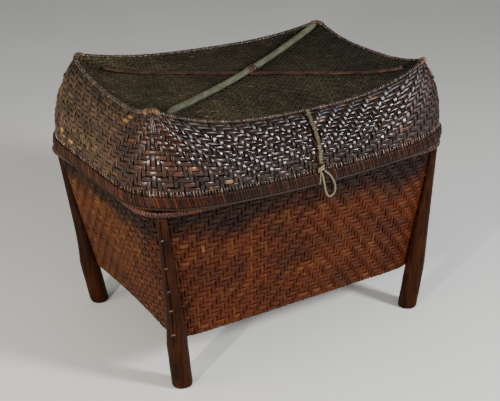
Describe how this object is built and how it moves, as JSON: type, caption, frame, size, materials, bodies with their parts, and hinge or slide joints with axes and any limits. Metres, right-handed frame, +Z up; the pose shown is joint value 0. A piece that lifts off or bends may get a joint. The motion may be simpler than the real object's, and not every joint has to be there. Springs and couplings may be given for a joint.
{
  "type": "lidded plaited storage basket",
  "caption": "Rectangular plaited cane basket that flares up from wooden corner stakes, with a deep lift-off lid, a concave top with raised corners, crossed bars and a cord loop closure.",
  "frame": {"origin": "on the floor under the middle of the basket, between its four feet", "axes": "+X along the long side, -Y towards the front with the closure cord, +Z up"},
  "size_m": [0.5983, 0.4116, 0.4638],
  "materials": {
    "body_cane": "aged reddish-brown plaited cane, satin",
    "lid_cane": "near-black brown plaited cane, worn glossy",
    "hoop_cane": "dark brown lashed cane, satin",
    "stake_wood": "dark handled wood, satin",
    "bar_wood": "smooth grey-brown stick",
    "straw_cord": "pale twisted fibre, matt"
  },
  "bodies": {
    "basket": {"body_wall": "body_cane", "body_base": "body_cane", "ledge_hoop": "hoop_cane", "mouth_hoop_outer": "hoop_cane", "mouth_hoop_inner": "hoop_cane", "leg_front_left": "stake_wood", "leg_back_left": "stake_wood", "leg_back_right": "stake_wood", "leg_front_right": "stake_wood", "batten_front_left": "stake_wood", "batten_back_left": "stake_wood", "batten_back_right": "stake_wood", "batten_front_right": "stake_wood"},
    "lid": {"lid_wall": "lid_cane", "lid_top": "lid_cane", "lid_edge_cane": "hoop_cane", "lid_rim_band": "hoop_cane", "lid_rim_hoop_upper": "hoop_cane", "lid_rim_rod": "hoop_cane", "lid_stop_hoop": "hoop_cane", "crossbar_round": "bar_wood", "crossbar_flat_front": "hoop_cane", "crossbar_flat_back": "hoop_cane", "crossing_lashing": "hoop_cane", "peak_lashing_front_left": "hoop_cane", "peak_lashing_back_left": "hoop_cane", "peak_lashing_back_right": "hoop_cane", "peak_lashing_front_right": "hoop_cane", "closure_cord": "straw_cord", "closure_knot": "straw_cord"},
    "loop": {"closure_loop": "straw_cord"}
  },
  "joints": [
    {"name": "lid_lift", "type": "slide", "parent": "basket", "child": "lid", "axis": [0, 0, 1], "range_m": [0, 0.15]},
    {"name": "loop_swing", "type": "hinge", "parent": "lid", "child": "loop", "pos_m": [0, -0.2024, 0.3302], "axis": [-1, 0, 0], "range_deg": [0, 110]}
  ]
}
